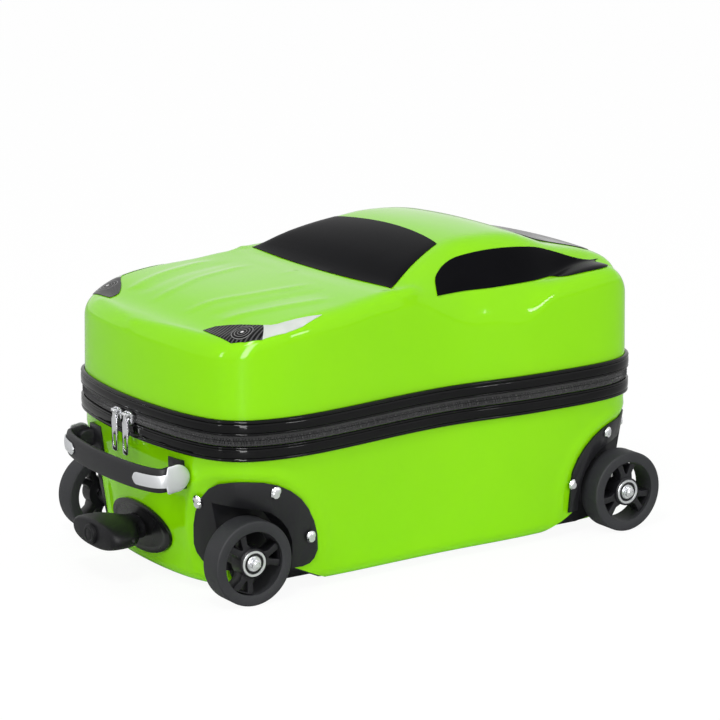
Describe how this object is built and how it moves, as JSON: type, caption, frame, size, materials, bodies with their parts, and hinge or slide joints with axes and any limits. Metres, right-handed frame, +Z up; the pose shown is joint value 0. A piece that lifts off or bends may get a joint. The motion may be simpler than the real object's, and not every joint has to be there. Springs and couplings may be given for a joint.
{
  "type": "kids hard shell suitcase",
  "caption": "Car-shaped hard-shell children's suitcase: lid hinged at the rear, zip belt, rolling wheels in riveted housings, front carry handle and telescopic pull rod.",
  "frame": {"origin": "on the ground under the centre of the overall bounding box, where the tyres touch the floor", "axes": "+X runs along the length from the bonnet and carry handle to the tail, +Y to the case's right-hand side as seen by a rider facing the bonnet turned about, that is the side away from the viewer of the picture, +Z up"},
  "size_m": [0.5016, 0.2792, 0.2716],
  "materials": {
    "shell_green": "glossy moulded sheet",
    "gloss_black": "glossy",
    "matt_black": "matt moulded",
    "rubber_black": "matt",
    "tape_black": "woven tape",
    "lining_grey": "plain lining cloth",
    "lamp_silver": "glossy film",
    "bright_metal": "bright",
    "satin_silver": "satin",
    "rod_steel": "satin"
  },
  "bodies": {
    "tub": {"lower_shell": "shell_green", "lower_lining": "lining_grey", "lower_binding": "gloss_black", "lower_zip_tape": "tape_black", "hinge_tape": "tape_black", "wheel_housing_front_near": "matt_black", "wheel_housing_front_far": "matt_black", "wheel_housing_rear_near": "matt_black", "wheel_housing_rear_far": "matt_black", "rivet_strip_front_near": "bright_metal", "rivet_strip_front_far": "bright_metal", "rivet_strip_rear_near": "bright_metal", "rivet_strip_rear_far": "bright_metal", "axle_bolt_front_near": "bright_metal", "axle_bolt_front_far": "bright_metal", "axle_bolt_rear_near": "bright_metal", "axle_bolt_rear_far": "bright_metal", "handle_mount_near": "matt_black", "handle_mount_far": "matt_black", "rod_plate": "gloss_black", "rod_outer_tube": "rod_steel", "rod_bracket": "matt_black"},
    "lid": {"upper_shell": "shell_green", "upper_lining": "lining_grey", "upper_binding": "gloss_black", "upper_zip_tape": "tape_black", "windscreen": "gloss_black", "rear_window": "gloss_black", "side_window_near": "gloss_black", "side_window_far": "gloss_black", "headlight_near": "lamp_silver", "headlight_far": "lamp_silver"},
    "wheel_front_near": {"tyre_front_near": "rubber_black", "hub_front_near": "matt_black", "bearing_front_near": "bright_metal"},
    "wheel_front_far": {"tyre_front_far": "rubber_black", "hub_front_far": "matt_black", "bearing_front_far": "bright_metal"},
    "wheel_rear_near": {"tyre_rear_near": "rubber_black", "hub_rear_near": "matt_black", "bearing_rear_near": "bright_metal"},
    "wheel_rear_far": {"tyre_rear_far": "rubber_black", "hub_rear_far": "matt_black", "bearing_rear_far": "bright_metal"},
    "handle": {"carry_strap": "rubber_black", "handle_insert_near": "satin_silver", "handle_insert_far": "satin_silver"},
    "rod_middle": {"rod_middle_tube": "rod_steel", "middle_tube_bush": "matt_black"},
    "rod_inner": {"rod_inner_tube": "rod_steel", "inner_tube_bush": "matt_black", "pull_grip": "matt_black", "button_spring": "rod_steel"},
    "button": {"push_button": "matt_black", "release_rod": "rod_steel"},
    "slider_near": {"zip_slider_near": "bright_metal"},
    "slider_far": {"zip_slider_far": "bright_metal"},
    "pull_near": {"zip_pull_near": "satin_silver"},
    "pull_far": {"zip_pull_far": "satin_silver"}
  },
  "joints": [
    {"name": "lid_hinge", "type": "hinge", "parent": "tub", "child": "lid", "pos_m": [0.25077, 0, 0.136], "axis": [0, 1, 0], "range_deg": [0, 170], "deforming": ["hinge_tape"]},
    {"name": "wheel_spin_front_near", "type": "hinge", "parent": "tub", "child": "wheel_front_near", "pos_m": [-0.17223, -0.124, 0.03545], "axis": [0, 1, 0], "continuous": true},
    {"name": "wheel_spin_front_far", "type": "hinge", "parent": "tub", "child": "wheel_front_far", "pos_m": [-0.17223, 0.124, 0.03545], "axis": [0, 1, 0], "continuous": true},
    {"name": "wheel_spin_rear_near", "type": "hinge", "parent": "tub", "child": "wheel_rear_near", "pos_m": [0.21177, -0.124, 0.03545], "axis": [0, 1, 0], "continuous": true},
    {"name": "wheel_spin_rear_far", "type": "hinge", "parent": "tub", "child": "wheel_rear_far", "pos_m": [0.21177, 0.124, 0.03545], "axis": [0, 1, 0], "continuous": true},
    {"name": "handle_swing", "type": "hinge", "parent": "tub", "child": "handle", "pos_m": [-0.21283, 0, 0.101], "axis": [0, 1, 0], "range_deg": [-60, 45]},
    {"name": "rod_stage_1", "type": "slide", "parent": "tub", "child": "rod_middle", "axis": [-1, 0, 0], "range_m": [0, 0.3]},
    {"name": "rod_stage_2", "type": "slide", "parent": "rod_middle", "child": "rod_inner", "axis": [-1, 0, 0], "range_m": [0, 0.29]},
    {"name": "button_press", "type": "slide", "parent": "rod_inner", "child": "button", "axis": [1, 0, 0], "range_m": [0, 0.003], "stiffness_N_per_m": 300, "springref_m": -0.002, "deforming": ["button_spring"]},
    {"name": "slider_run_near", "type": "slide", "parent": "tub", "child": "slider_near", "axis": [0, -1, 0], "range_m": [0, 0.04]},
    {"name": "slider_run_far", "type": "slide", "parent": "tub", "child": "slider_far", "axis": [0, 1, 0], "range_m": [0, 0.04]},
    {"name": "pull_swing_near", "type": "hinge", "parent": "slider_near", "child": "pull_near", "pos_m": [-0.21853, -0.009, 0.139], "axis": [0, 1, 0], "range_deg": [-4, 150]},
    {"name": "pull_swing_far", "type": "hinge", "parent": "slider_far", "child": "pull_far", "pos_m": [-0.21853, 0.009, 0.139], "axis": [0, 1, 0], "range_deg": [-4, 150]}
  ]
}
